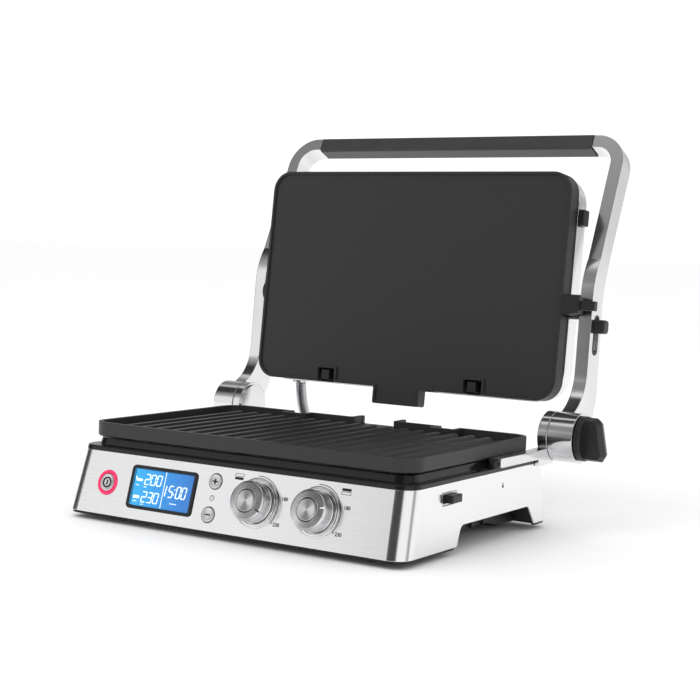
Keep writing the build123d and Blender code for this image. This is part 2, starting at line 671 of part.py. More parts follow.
# ---------------------------------------------------------------- lid
with BuildPart() as lid_frame:
    slab(LID.offset(FRAME_Z), PLATE_W, PLATE_D, 2.9, PLATE_R)
    slab(LID.offset(FRAME_Z + 2.9), COVER_W - 3.4, COVER_D - 3.4, 11, 24)
    slab(LID.offset(FRAME_Z + 2.9), COVER_W - 8.4, COVER_D - 8.4, 20, 21.5, mode=Mode.SUBTRACT)
    slab(LID.offset(FRAME_Z - 1), BOWL_W, BOWL_D, 20, 10, mode=Mode.SUBTRACT)
    for side in (-1, 1):
        tile(LID.offset(FRAME_Z + 2.9), (side * 138.9, PIVOT_Y), 10.6, 18, 11)
        for y in (-83, 83):
            tile(LID.offset(FRAME_Z + 2.9), (side * 118, y), 9, 5.5, 17)
    rod(lid_side(-150), [(PIVOT_Y, PIVOT_Z)], PIVOT_R + 0.02, 300, mode=Mode.SUBTRACT)
    tile(lid_side(138), (-57.5, 94.5), 9.4, 7.4, 10, mode=Mode.SUBTRACT)
    tile(lid_side(144.1), (-57.5, 94.5), 13.8, 10.6, 10, mode=Mode.SUBTRACT)
    tile(lid_side(LID_EXIT_X - 8), (90, 97), 12, 16, 16, mode=Mode.SUBTRACT)
save(lid_frame, "lid_frame")

with BuildPart() as cover_hollow:
    slab(LID.offset(COVER_Z - 1), COVER_W - 2.4, COVER_D - 2.4, COVER_TOP - COVER_Z - 0.2, 24.8)
    fillet(cover_hollow.faces().sort_by(Axis(LID.origin, LID.z_dir))[-1].edges(), radius=5.8)

with BuildPart() as lid_cover:
    slab(LID.offset(COVER_Z), COVER_W, COVER_D, COVER_TOP - COVER_Z, 26)
    fillet(lid_cover.faces().sort_by(Axis(LID.origin, LID.z_dir))[-1].edges(), radius=7)
    add(cover_hollow.part, mode=Mode.SUBTRACT)
    rod(lid_side(-150), [(PIVOT_Y, PIVOT_Z)], PIVOT_R + 0.5, 300, mode=Mode.SUBTRACT)
    tile(lid_side(138), (-57.5, 94.5), 13.8, 10.6, 12, mode=Mode.SUBTRACT)
    rod(Plane(origin=LID.from_local_coords((LID_EXIT_X, 80, 97)), z_dir=LID.y_dir), [(0, 0)], 6.4, 20,
        mode=Mode.SUBTRACT)
save(lid_cover, "lid_cover")

with BuildPart() as lid_screws:
    for side in (-1, 1):
        for y in (-83, 83):
            rod(LID.offset(COVER_TOP + 0.02), [(side * 118, y)], 3.2, 1)
save(lid_screws, "lid_screws")

with BuildPart() as lid_gland:
    gland_plane = Plane(origin=LID.from_local_coords((LID_EXIT_X, COVER_D / 2 - 1.6, 97)), z_dir=LID.y_dir)
    rod(gland_plane, [(0, 0)], 6.2, 3.0)
    rod(gland_plane.offset(1.65), [(0, 0)], 7.4, 1.6)
    rod(gland_plane.offset(-1), [(0, 0)], CONDUIT_R + 0.3, 8, mode=Mode.SUBTRACT)
save(lid_gland, "lid_gland")

LID_HEATER_Z = 92.2
with BuildPart() as upper_reflector:
    slab(LID.offset(FRAME_Z + 0.6), BOWL_W - 1.4, BOWL_D - 1.4, 15.5, 9.5)
    slab(LID.offset(FRAME_Z), BOWL_W - 3, BOWL_D - 3, 15.3, 9, mode=Mode.SUBTRACT)
    tail_plane = Plane(origin=LID.from_local_coords((0, 60, LID_HEATER_Z)), x_dir=LID.x_dir, z_dir=LID.y_dir)
    rod(tail_plane, [(-14, 0), (14, 0)], 4.0, 30, mode=Mode.SUBTRACT)
    rod(LID.offset(FRAME_Z + 10), [(0, 0)], 4.4, 10, mode=Mode.SUBTRACT)
save(upper_reflector, "upper_reflector")

upper_heater = heater_loop(LID.offset(LID_HEATER_Z))
save(upper_heater, "upper_heater")

with BuildPart() as upper_probe:
    rod(LID.offset(FRAME_Z + 0.1), [(0, 0)], 4.0, 20)
save(upper_probe, "upper_probe")

with BuildPart() as upper_plate_clips:
    for x in (-NOTCH_X, NOTCH_X):
        tile(LID.offset(UPPER_PLATE_Z + 1.5), (x - 1.5, 86.0), 8, 8.5, FRAME_Z - UPPER_PLATE_Z - 1.5)
save(upper_plate_clips, "upper_plate_clips")

with BuildPart() as upper_release:
    tile(lid_side(147.3), (-57.5, 94.5), 13.2, 10.0, 4.7, radius=1.5)
    fillet(upper_release.faces().sort_by(Axis.X)[-1].edges(), radius=1)
    tile(lid_side(138.5), (-57.5, 94.5), 8.4, 6.4, 10)
save(upper_release, "upper_release")

with BuildPart() as pivot_pins:
    rod(lid_side(134.5), [(PIVOT_Y, PIVOT_Z)], PIVOT_R, 30)
    mirror(about=Plane.YZ)
save(pivot_pins, "pivot_pins")

with BuildPart() as left_pivot_boss:
    rod(lid_side(-ARM_IN + 0.4), [(PIVOT_Y, PIVOT_Z)], 10, 8.4)
    rod(lid_side(-170), [(PIVOT_Y, PIVOT_Z)], PIVOT_R + 0.02, 40, mode=Mode.SUBTRACT)
save(left_pivot_boss, "left_pivot_boss")

STOP_IN, STOP_OUT = 147.4, ARM_IN - 0.4
with BuildPart() as height_stop:
    rod(lid_side(STOP_IN), [(PIVOT_Y, PIVOT_Z)], 10, STOP_OUT - STOP_IN)
    tile(lid_side(STOP_IN), (PIVOT_Y, 78), 15, 17, STOP_OUT - STOP_IN)
    tile(lid_side(STOP_IN), (PIVOT_Y, 73.5), 13, 8, 15.6, radius=1)
    tile(lid_side(STOP_IN + 15), (PIVOT_Y, 74.5), 7.5, 5.5, 13.1, radius=1)
    rod(lid_side(100), [(PIVOT_Y, PIVOT_Z)], PIVOT_R + RUN_GAP, 70, mode=Mode.SUBTRACT)
save(height_stop, "height_stop")
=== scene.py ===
import json
import math

import bmesh
import bpy
from bpy.props import FloatProperty, FloatVectorProperty, IntProperty, PointerProperty
from mathutils import Matrix, Vector


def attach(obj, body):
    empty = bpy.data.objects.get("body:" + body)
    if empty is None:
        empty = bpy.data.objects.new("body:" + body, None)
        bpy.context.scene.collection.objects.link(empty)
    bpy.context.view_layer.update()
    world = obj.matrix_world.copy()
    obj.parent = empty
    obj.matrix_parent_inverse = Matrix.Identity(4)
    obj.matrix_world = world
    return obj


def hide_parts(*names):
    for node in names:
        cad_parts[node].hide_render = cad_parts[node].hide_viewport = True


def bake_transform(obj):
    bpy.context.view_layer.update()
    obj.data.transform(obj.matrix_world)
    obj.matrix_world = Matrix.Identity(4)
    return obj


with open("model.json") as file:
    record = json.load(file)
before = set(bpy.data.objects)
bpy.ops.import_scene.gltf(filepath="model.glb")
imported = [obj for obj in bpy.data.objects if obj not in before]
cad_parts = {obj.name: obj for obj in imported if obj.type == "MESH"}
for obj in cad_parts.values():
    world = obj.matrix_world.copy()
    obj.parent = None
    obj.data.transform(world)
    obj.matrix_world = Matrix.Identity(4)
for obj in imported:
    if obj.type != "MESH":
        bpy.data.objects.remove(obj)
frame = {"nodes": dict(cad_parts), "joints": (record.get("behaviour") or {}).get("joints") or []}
for leftover in ("Cube", "Light", "Camera"):
    if leftover in bpy.data.objects:
        bpy.data.objects.remove(bpy.data.objects[leftover])
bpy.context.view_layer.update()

bl_info = {
    "name": "Contact Grill",
    "version": (1, 0, 0),
    "blender": (4, 5, 0),
    "location": "3D View > Sidebar > Grill",
    "description": "Dresses a packed contact grill with its finishes and small parts",
    "category": "Object",
}

# ---- places on the grill
MM = 0.001
RIGHT = Vector((1, 0, 0))
JOINTS = {joint["name"]: joint for joint in frame["joints"]}
# Places on the front panel, across it and up it, in millimetres.
DIALS = {side: (Vector(JOINTS[f"{side}_dial_turn"]["pos_m"]) / MM).x for side in ("left", "right")}
DIAL_V = 25.2
POWER_AT = (-115.3, 24.5)
PLUS_AT = (-13.5, 36.6)
MINUS_AT = (-14.5, 11.9)
DISPLAY_AT = (-61.5, 24.5)
DISPLAY_HALF = 29


def placing(origin, out, across=RIGHT):
    """Carries (across, up, out) in millimetres to the grill's own metres."""
    out = Vector(out).normalized()
    up = out.cross(across).normalized()
    turn = Matrix((across, up, out)).transposed().to_4x4()
    return Matrix.Scale(MM, 4) @ Matrix.Translation(origin) @ turn


def shifted(place, x, y):
    return place @ Matrix.Translation((x, y, 0))


PANEL_OUT = Vector(JOINTS["left_dial_turn"]["axis"])
PANEL_UP = PANEL_OUT.cross(RIGHT)
PANEL = placing(
    Vector(JOINTS["left_dial_turn"]["pos_m"]) / MM - RIGHT * DIALS["left"] - PANEL_UP * DIAL_V,
    PANEL_OUT,
)


# ---- sizes and colours a user may change
def colour(name, words, tone):
    return FloatVectorProperty(name=name, description=words, default=tone, subtype="COLOR", min=0, max=1)


class GrillLooks(bpy.types.PropertyGroup):
    steel: colour("Steel", "Colour of the brushed steel skirt and cover", (0.88, 0.88, 0.89))
    cast: colour("Cast metal", "Colour of the arms, hubs and brackets", (0.78, 0.78, 0.79))
    plastic: colour("Black plastic", "Colour of the matt black mouldings", (0.014, 0.014, 0.015))
    coating: colour("Plate coating", "Colour of the non-stick coating", (0.024, 0.024, 0.025))
    glow: colour("Display glow", "Colour of the lit display", (0.010, 0.22, 0.56))
    ring_glow: colour("Ring glow", "Colour of the lit ring round the power button", (0.82, 0.015, 0.11))


class GrillSizes(bpy.types.PropertyGroup):
    print_line: FloatProperty(
        name="Printed line", description="Width of the printed dial scale, in millimetres",
        default=0.55, min=0.2, max=1.0)
    hose_pitch: FloatProperty(
        name="Hose pitch", description="Distance between the hose's ribs, in millimetres",
        default=1.7, min=1.0, max=4.0)
    turning_steps: IntProperty(
        name="Turning steps", description="Faces round each turned part",
        default=96, min=24, max=180)
    key_light: FloatProperty(
        name="Key light", description="Power of the large light over the grill",
        default=9.0, min=0, unit="POWER")
    side_light: FloatProperty(
        name="Side light", description="Power of the light on the left",
        default=4.0, min=0, unit="POWER")


def looks():
    return bpy.context.scene.grill_looks


def sizes():
    return bpy.context.scene.grill_sizes


# ---- finishes
BEVEL_SAMPLES = 6
# Share of the turn round a lathe-turned face, and the brightness painted there: a fan of highlights painted
# into the base colour by angle.
PAINTED_FAN_HIGHLIGHT = [
    (0.0, 0.95), (0.12, 1.0), (0.21, 0.60), (0.30, 0.52), (0.41, 0.95), (0.50, 1.0), (0.58, 0.98),
    (0.66, 0.60), (0.75, 0.55), (0.85, 0.85), (1.0, 0.95),
]


def start_finish(name, **values):
    """A new material and its shader with the given values on the shader's own sockets."""
    material = bpy.data.materials.new(name)
    material.use_nodes = True
    shader = material.node_tree.nodes["Principled BSDF"]
    for socket, value in values.items():
        key = socket.replace("_", " ").title().replace("Ior", "IOR")
        shader.inputs[key].default_value = (*value, 1) if isinstance(value, (tuple, list)) else value
    return material, shader


def add_node(material, kind, **values):
    """A node whose inputs are set by name, or linked where the value is a socket."""
    node = material.node_tree.nodes.new(kind)
    for name, value in values.items():
        if name in node.bl_rna.properties:
            setattr(node, name, value)
            continue
        socket = node.inputs[int(name[1:])] if name[0] == "i" and name[1:].isdigit() else node.inputs[name]
        if isinstance(value, bpy.types.NodeSocket):
            material.node_tree.links.new(value, socket)
        else:
            socket.default_value = value
    return node


def link(material, source, target):
    material.node_tree.links.new(source, target)


def object_pattern(material, scale, place=None):
    """Object coordinates, in a place's own millimetres if one is given, times one number or three."""
    coords = add_node(material, "ShaderNodeTexCoord").outputs["Object"]
    if place is not None:
        spot, turn, _ = place.decompose()
        coords = add_node(
            material, "ShaderNodeMapping", vector_type="TEXTURE", Vector=coords,
            Location=spot, Rotation=turn.to_euler(), Scale=(MM, MM, MM),
        ).outputs["Vector"]
    stretch = scale if isinstance(scale, tuple) else (scale, scale, scale)
    return add_node(material, "ShaderNodeMapping", Vector=coords, Scale=stretch).outputs["Vector"]


def noise(material, vector, detail, roughness=0.5):
    return add_node(
        material, "ShaderNodeTexNoise", Vector=vector, Scale=1.0, Detail=detail, Roughness=roughness
    ).outputs["Fac"]


def patterned(material, scale, detail, roughness=0.5):
    """Noise that stays with the piece, finer as the scale grows."""
    return noise(material, object_pattern(material, scale), detail, roughness)


def ranged(material, factor, low, high, start=0.0, end=1.0):
    """A factor from start to end becomes a value from low to high."""
    node = add_node(material, "ShaderNodeMapRange", Value=factor)
    node.inputs["From Min"].default_value = start
    node.inputs["From Max"].default_value = end
    node.inputs["To Min"].default_value = low
    node.inputs["To Max"].default_value = high
    return node.outputs["Result"]


def scaled(tone, share):
    """A colour made darker or lighter, and no brighter than white."""
    return tuple(min(1, share * part) for part in tone)


def tinted(material, shader, factor, dark, light):
    """The base colour runs from dark to light with a factor."""
    ramp = add_node(material, "ShaderNodeValToRGB", Fac=factor)
    ramp.color_ramp.elements[0].color = (*dark, 1)
    ramp.color_ramp.elements[1].color = (*light, 1)
    link(material, ramp.outputs["Color"], shader.inputs["Base Color"])
    return ramp


def roughened(material, shader, factor, low, high):
    """The roughness runs from low to high with a factor."""
    link(material, ranged(material, factor, low, high), shader.inputs["Roughness"])


def banded(owner, factor, stops):
    """Greys along a factor, given as places and brightnesses."""
    ramp = add_node(owner, "ShaderNodeValToRGB", Fac=factor)
    elements = ramp.color_ramp.elements
    while len(elements) < len(stops):
        elements.new(0.5)
    for element, (place, grey) in zip(elements, stops):
        element.position = place
        element.color = (grey, grey, grey, 1)
    return ramp.outputs["Color"]


def bumped(material, shader, height, strength, depth_mm, under=None):
    bump = add_node(material, "ShaderNodeBump", Height=height, Strength=strength, Distance=depth_mm * MM)
    if under is not None:
        link(material, under, bump.inputs["Normal"])
    link(material, bump.outputs["Normal"], shader.inputs["Normal"])


def softened(material, radius_mm):
    """Edges catch the light as if they were broken by this radius."""
    return add_node(
        material, "ShaderNodeBevel", samples=BEVEL_SAMPLES, Radius=radius_mm * MM).outputs["Normal"]


def brushed_steel():
    """Steel brushed from side to side, with long fine scratches."""
    material, shader = start_finish("brushed_steel", metallic=1.0, roughness=0.27)
    tone = looks().steel
    fine = patterned(material, (60, 5200, 5200), 3)
    contrast = ranged(material, fine, 0, 1, 0.3, 0.7)
    tinted(material, shader, contrast, scaled(tone, 0.93), scaled(tone, 1.06))
    roughened(material, shader, fine, 0.12, 0.24)
    bumped(material, shader, fine, 0.10, 0.02, softened(material, 0.5))
    return material


def cast_satin(name="cast_satin", tone=None, rough=(0.10, 0.17), edge=0.7):
    """Bead-blasted aluminium with a soft sheen and a faint lengthwise grain."""
    material, shader = start_finish(name, metallic=1.0)
    tone = tone or looks().cast
    grain = patterned(material, (900, 900, 60), 3)
    cloud = patterned(material, 40, 2)
    tinted(material, shader, cloud, scaled(tone, 0.93), scaled(tone, 1.05))
    roughened(material, shader, grain, *rough)
    bumped(material, shader, grain, 0.05, 0.03, softened(material, edge))
    return material


def polished_metal():
    """Bright plated metal with faint wipe marks."""
    material, shader = start_finish("polished_metal", metallic=1.0, base_color=(0.84, 0.84, 0.85))
    smear = patterned(material, 160, 4)
    roughened(material, shader, smear, 0.07, 0.16)
    bumped(material, shader, smear, 0.03, 0.02, softened(material, 0.3))
    return material


def turned_metal(name, place, rings, tone=(0.82, 0.82, 0.83), rough=0.24, strength=0.12):
    """A lathe-turned face: fine circles round the part's own axis stretch its highlights, and a fan of
    highlights is painted into the base colour by angle.
    """
    material, shader = start_finish(name, metallic=1.0, anisotropic=0.85)
    coords = add_node(material, "ShaderNodeTexCoord").outputs["Object"]
    spoke = add_node(material, "ShaderNodeVectorMath", operation="SUBTRACT", i0=coords,
                     i1=place.translation).outputs[0]
    round_axis = add_node(material, "ShaderNodeVectorMath", operation="CROSS_PRODUCT", i0=spoke,
                          i1=place.to_3x3().col[2].normalized()).outputs[0]
    link(material, round_axis, shader.inputs["Tangent"])
    local = object_pattern(material, (1, 1, 0), place)
    radius = add_node(material, "ShaderNodeVectorMath", operation="LENGTH", i0=local).outputs["Value"]
    waves = add_node(material, "ShaderNodeMath", operation="MULTIPLY", i0=radius, i1=rings).outputs[0]
    circle = add_node(material, "ShaderNodeCombineXYZ", X=waves).outputs["Vector"]
    scratch = noise(material, circle, 3, roughness=0.6)
    # Painted highlight: brightness bands by angle round the axis multiply the base colour, a fan of
    # highlights painted on.
    sweep = add_node(material, "ShaderNodeTexGradient", gradient_type="RADIAL", Vector=local).outputs["Fac"]
    painted_fan = banded(material, sweep, PAINTED_FAN_HIGHLIGHT)
    ramp = tinted(material, shader, scratch, scaled(tone, 0.92), scaled(tone, 1.06))
    turned_tone_and_painted_fan = add_node(material, "ShaderNodeMix", data_type="RGBA", blend_type="MULTIPLY", i0=1.0,
                     i6=ramp.outputs["Color"], i7=painted_fan).outputs[2]
    link(material, turned_tone_and_painted_fan, shader.inputs["Base Color"])
    roughened(material, shader, scratch, rough - 0.05, rough + 0.07)
    bumped(material, shader, scratch, strength, 0.05)
    return material


def drawn_metal(name, place):
    """The side of a dial: fine streaks that run along its axis."""
    material, shader = start_finish(name, metallic=1.0)
    local = object_pattern(material, (1, 1, 0.05), place)
    close = add_node(material, "ShaderNodeVectorMath", operation="SCALE", i0=local, Scale=5.0)
    streak = noise(material, close.outputs["Vector"], 3)
    tinted(material, shader, streak, (0.50, 0.50, 0.51), (0.82, 0.82, 0.83))
    roughened(material, shader, streak, 0.16, 0.30)
    bumped(material, shader, streak, 0.12, 0.03)
    return material


def matt_plastic(name="matt_plastic", tone=None, rough=(0.38, 0.52), edge=0.4, grain=0.25):
    """Moulded plastic with a fine spark-eroded texture."""
    material, shader = start_finish(name, specular_ior_level=0.35)
    tone = tone or looks().plastic
    fine = patterned(material, 1500, 2)
    broad = patterned(material, 55, 3)
    tinted(material, shader, broad, scaled(tone, 0.85), scaled(tone, 1.2))
    roughened(material, shader, fine, *rough)
    bumped(material, shader, fine, grain, 0.03, softened(material, edge))
    return material


def gloss_plastic():
    """Gloss black plastic with the slight ripple of a moulded face."""
    material, shader = start_finish("gloss_plastic", specular_ior_level=0.30)
    tone = (0.010, 0.010, 0.011)
    ripple = patterned(material, 45, 1)
    tinted(material, shader, ripple, tone, scaled(tone, 1.3))
    roughened(material, shader, ripple, 0.10, 0.16)
    bumped(material, shader, ripple, 0.04, 0.1, softened(material, 0.5))
    return material


def plate_coating():
    """Non-stick coating: dark, softly shining, with pale mineral specks."""
    material, shader = start_finish("plate_coating", specular_ior_level=0.38)
    tone = looks().coating
    peel = patterned(material, 900, 3, roughness=0.6)
    specks = add_node(
        material, "ShaderNodeTexVoronoi", Vector=object_pattern(material, 1100), Scale=1.0
    ).outputs["Distance"]
    dots = ranged(material, specks, 1.0, 0.0, 0.05, 0.20)
    ramp = tinted(material, shader, dots, tone, scaled(tone, 3.0))
    ramp.color_ramp.elements[0].position = 0.2
    roughened(material, shader, peel, 0.34, 0.50)
    bumped(material, shader, peel, 0.22, 0.05, softened(material, 0.6))
    return material


def rubber():
    """Soft rubber, dull and slightly dusty."""
    material, shader = start_finish("rubber")
    dust = patterned(material, 300, 4)
    tinted(material, shader, dust, (0.012, 0.012, 0.012), (0.035, 0.034, 0.033))
    roughened(material, shader, dust, 0.60, 0.82)
    bumped(material, shader, dust, 0.2, 0.04)
    return material


def rolled_reflector():
    """Rolled aluminium sheet with a cloudy shine from heat."""
    material, shader = start_finish("rolled_reflector", metallic=1.0)
    rolled = patterned(material, (30, 900, 900), 3)
    heat = patterned(material, 22, 2)
    tinted(material, shader, heat, (0.72, 0.70, 0.67), (0.90, 0.90, 0.90))
    roughened(material, shader, rolled, 0.14, 0.28)
    bumped(material, shader, rolled, 0.05, 0.03)
    return material


def oxidised_sheath():
    """The dark oxidised sheath of a heating element."""
    material, shader = start_finish("oxidised_sheath", metallic=0.7)
    scale = patterned(material, 260, 5, roughness=0.65)
    tinted(material, shader, scale, (0.035, 0.028, 0.024), (0.17, 0.12, 0.10))
    roughened(material, shader, scale, 0.45, 0.70)
    bumped(material, shader, scale, 0.3, 0.05)
    return material


def circuit_board():
    """Green board with copper tracks under its mask."""
    material, shader = start_finish("circuit_board", roughness=0.35)
    tracks = add_node(
        material, "ShaderNodeTexBrick", Vector=object_pattern(material, 130), Scale=1.0,
        Color1=(0.010, 0.10, 0.035, 1), Color2=(0.014, 0.14, 0.045, 1), Mortar=(0.05, 0.30, 0.10, 1),
    )
    link(material, tracks.outputs["Color"], shader.inputs["Base Color"])
    bumped(material, shader, tracks.outputs["Fac"], 0.15, 0.05)
    return material


def lit_display():
    """The lit back of the display, brighter at its left."""
    material, shader = start_finish("lit_display", roughness=0.3, emission_strength=1.0)
    local = object_pattern(material, 1, shifted(PANEL, *DISPLAY_AT))
    across = add_node(material, "ShaderNodeSeparateXYZ", Vector=local).outputs["X"]
    share = ranged(material, across, 0, 1, -DISPLAY_HALF, DISPLAY_HALF)
    ramp = tinted(material, shader, share, (0.016, 0.34, 0.66), (0.010, 0.13, 0.42))
    ramp.color_ramp.elements.new(0.45).color = (*looks().glow, 1)
    link(material, ramp.outputs["Color"], shader.inputs["Emission Color"])
    return material


def clear_lens():
    """A thin clear window over the display."""
    material, shader = start_finish(
        "clear_lens", base_color=(0.97, 0.98, 1.0), transmission_weight=1.0, ior=1.3)
    haze = patterned(material, 120, 2)
    roughened(material, shader, haze, 0.0, 0.02)
    return material


def glowing(name, tone, strength):
    """A part lit from inside, a little uneven."""
    material, shader = start_finish(name, roughness=0.3, emission_strength=strength)
    uneven = patterned(material, 180, 1)
    ramp = tinted(material, shader, uneven, scaled(tone, 0.88), scaled(tone, 1.08))
    link(material, ramp.outputs["Color"], shader.inputs["Emission Color"])
    return material


def print_ink(name="print_ink", tone=(0.006, 0.006, 0.007)):
    """Screen-printed ink, slightly broken by the metal under it."""
    material, shader = start_finish(name)
    broken = patterned(material, 700, 2)
    tinted(material, shader, broken, tone, scaled(tone, 1.6))
    roughened(material, shader, broken, 0.4, 0.6)
    return material


def silver_key():
    """Silver-lacquered plastic of the small buttons."""
    material, shader = start_finish("silver_key", metallic=0.75, coat_weight=0.3, coat_roughness=0.1)
    flake = patterned(material, 2600, 1)
    tinted(material, shader, flake, (0.62, 0.62, 0.64), (0.84, 0.84, 0.86))
    roughened(material, shader, flake, 0.22, 0.34)
    bumped(material, shader, flake, 0.05, 0.02)
    return material


PLAIN_FINISHES = (
    brushed_steel, cast_satin, polished_metal, matt_plastic, gloss_plastic, plate_coating, rubber,
    rolled_reflector, oxidised_sheath, circuit_board, lit_display, clear_lens, print_ink, silver_key,
)
FINISHES = {
    **{make.__name__: make for make in PLAIN_FINISHES},
    "grip_plastic": lambda: matt_plastic("grip_plastic", (0.040, 0.040, 0.042), (0.24, 0.34), 0.8, 0.10),
    "soft_black": lambda: matt_plastic("soft_black", (0.016, 0.016, 0.017), (0.30, 0.42), 0.7, 0.15),
    "zinc_screw": lambda: cast_satin("zinc_screw", (0.62, 0.62, 0.63), (0.22, 0.34), 0.2),
    "dark_link": lambda: matt_plastic("dark_link", (0.06, 0.06, 0.06), (0.35, 0.5), 0.2),
    "hose_metal": lambda: cast_satin("hose_metal", (0.66, 0.66, 0.68), (0.16, 0.28), 0.15),
    "white_segment": lambda: glowing("white_segment", (0.85, 0.95, 1.0), 1.1),
    "lit_ring": lambda: glowing("lit_ring", tuple(looks().ring_glow), 0.28),
    "pale_mark": lambda: print_ink("pale_mark", (0.60, 0.60, 0.62)),
}


def finish(name):
    """The named finish, made the first time it is asked for."""
    return bpy.data.materials.get(name) or FINISHES[name]()


def dress(nodes):
    """Carried-over solids keep their shapes and get the finish that they are listed under."""
    for finish_name, names in nodes.items():
        for name in names:
            mesh = frame["nodes"][name].data
            mesh.materials.clear()
            mesh.materials.append(finish(finish_name))


# ---- shaping helpers
SAME_POINT = 1e-4
FULL_TURN = 359.9  # degrees, just short of meeting itself
DIGIT_SHARE = 0.70  # of the font's size
INK_SPREAD = 0.10


def add_piece(name, shape, material, body, stands_for=(), crease=32.0):
    """Turn a finished bmesh into a piece that rides on a body."""
    bmesh.ops.recalc_face_normals(shape, faces=shape.faces)
    for face in shape.faces:
        face.smooth = True
    for edge in shape.edges:
        edge.smooth = edge.is_manifold and edge.calc_face_angle(0.0) < math.radians(crease)
    mesh = bpy.data.meshes.new(name)
    shape.to_mesh(mesh)
    shape.free()
    for one in material if isinstance(material, (list, tuple)) else [material]:
        mesh.materials.append(one)
    piece = bpy.data.objects.new(name, mesh)
    bpy.context.scene.collection.objects.link(piece)
    if body is not None:
        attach(piece, body)
    if stands_for:
        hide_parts(*stands_for)
    return piece


def settle(shape, place):
    """Carry what was added since the last call to its place."""
    new = [vert for vert in shape.verts if not vert.tag]
    bmesh.ops.transform(shape, matrix=place, verts=new)
    for vert in new:
        vert.tag = True
    return shape


def turned(profile, place, steps=None, shape=None, closed=False):
    """Spin a profile of (radius, height) points about the place's own out axis."""
    shape = shape or bmesh.new()
    steps = steps or sizes().turning_steps
    ring = [shape.verts.new((radius, 0, height)) for radius, height in profile]
    pairs = list(zip(ring, ring[1:])) + ([(ring[-1], ring[0])] if closed else [])
    edges = [shape.edges.new(pair) for pair in pairs]
    bmesh.ops.spin(
        shape, geom=ring + edges, cent=(0, 0, 0), axis=(0, 0, 1), dvec=(0, 0, 0),
        angle=2 * math.pi, steps=steps, use_merge=True,
    )
    new = [vert for vert in shape.verts if not vert.tag]
    bmesh.ops.remove_doubles(shape, verts=new, dist=SAME_POINT)
    return settle(shape, place)


def prism(points, place, low, high, shape=None):
    """A flat outline raised from low to high."""
    shape = shape or bmesh.new()
    face = shape.faces.new([shape.verts.new((x, y, low)) for x, y in points])
    made = bmesh.ops.extrude_face_region(shape, geom=[face])
    top = [item for item in made["geom"] if isinstance(item, bmesh.types.BMVert)]
    bmesh.ops.translate(shape, vec=(0, 0, high - low), verts=top)
    return settle(shape, place)


def rounded_box(width, height, radius, steps, centre=(0.0, 0.0)):
    """The outline of a rectangle with round corners, anticlockwise."""
    points = []
    for turn, (sx, sy) in enumerate([(1, 1), (-1, 1), (-1, -1), (1, -1)]):
        for n in range(steps + 1):
            angle = math.radians(90 * turn + 90 * n / steps)
            points.append((
                centre[0] + sx * (width / 2 - radius) + radius * math.cos(angle),
                centre[1] + sy * (height / 2 - radius) + radius * math.sin(angle),
            ))
    return points


def frame_ring(outer, inner, place, low, high):
    """A flat frame between two outlines that have the same number of points."""
    shape = bmesh.new()
    rings = [
        [shape.verts.new((x, y, z)) for x, y in points]
        for points, z in ((outer, low), (outer, high), (inner, high), (inner, low))
    ]
    for ring, other in zip(rings, rings[1:] + rings[:1]):
        for n in range(len(ring)):
            m = (n + 1) % len(ring)
            shape.faces.new((ring[n], ring[m], other[m], other[n]))
    bmesh.ops.transform(shape, matrix=place, verts=shape.verts)
    return shape


def bar(start, end, width):
    """The outline of a straight stroke."""
    a, b = Vector(start), Vector(end)
    side = (b - a).normalized().orthogonal() * width / 2
    return [tuple(a - side), tuple(b - side), tuple(b + side), tuple(a + side)]


def arc_band(radius, width, start, end, steps=48, centre=(0.0, 0.0)):
    """The outline of part of a ring, from one angle to another in degrees."""
    outer, inner = [], []
    for n in range(steps + 1):
        angle = math.radians(start + (end - start) * n / steps)
        across = Vector((math.cos(angle), math.sin(angle)))
        outer.append(tuple(Vector(centre) + across * (radius + width / 2)))
        inner.append(tuple(Vector(centre) + across * (radius - width / 2)))
    return outer + inner[::-1]


def lettering(text, height, place, low, high, shape):
    """Numbers as raised solid shapes, starting at the place's origin."""
    curve = bpy.data.curves.new("numbers", "FONT")
    curve.body = text
    curve.size = height / DIGIT_SHARE
    curve.extrude = (high - low) / 2
    curve.offset = INK_SPREAD
    curve.resolution_u = 3
    holder = bpy.data.objects.new("numbers", curve)
    mesh = bpy.data.meshes.new_from_object(holder)
    mesh.transform(place @ Matrix.Translation((0, 0, (low + high) / 2)))
    shape.from_mesh(mesh)
    bpy.data.objects.remove(holder)
    bpy.data.curves.remove(curve)
    bpy.data.meshes.remove(mesh)
    for vert in shape.verts:
        vert.tag = True


